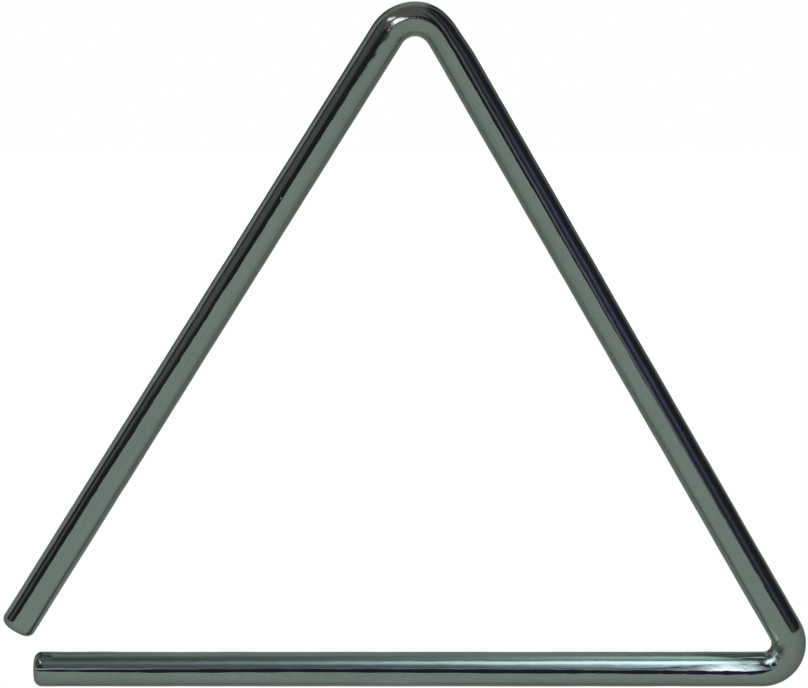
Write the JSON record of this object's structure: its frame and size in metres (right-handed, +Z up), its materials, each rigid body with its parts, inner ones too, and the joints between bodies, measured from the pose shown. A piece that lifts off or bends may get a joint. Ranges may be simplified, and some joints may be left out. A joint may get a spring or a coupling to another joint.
{
  "type": "triangle instrument",
  "caption": "Percussion triangle: one round steel bar bent into a triangle that is open at its lower left corner, with a bright plated finish.",
  "frame": {"origin": "highest point of the top bend's inner arc, in the bar's middle plane, where a hanging line bears", "axes": "+Z up as the instrument hangs, +X along the level base towards the closed corner, +Y away from the viewer, square to the triangle"},
  "size_m": [0.1839, 0.008, 0.1564],
  "materials": {
    "chrome": "polished bright plating on steel"
  },
  "bodies": {
    "root": {"bent_rod": "chrome"}
  },
  "joints": []
}
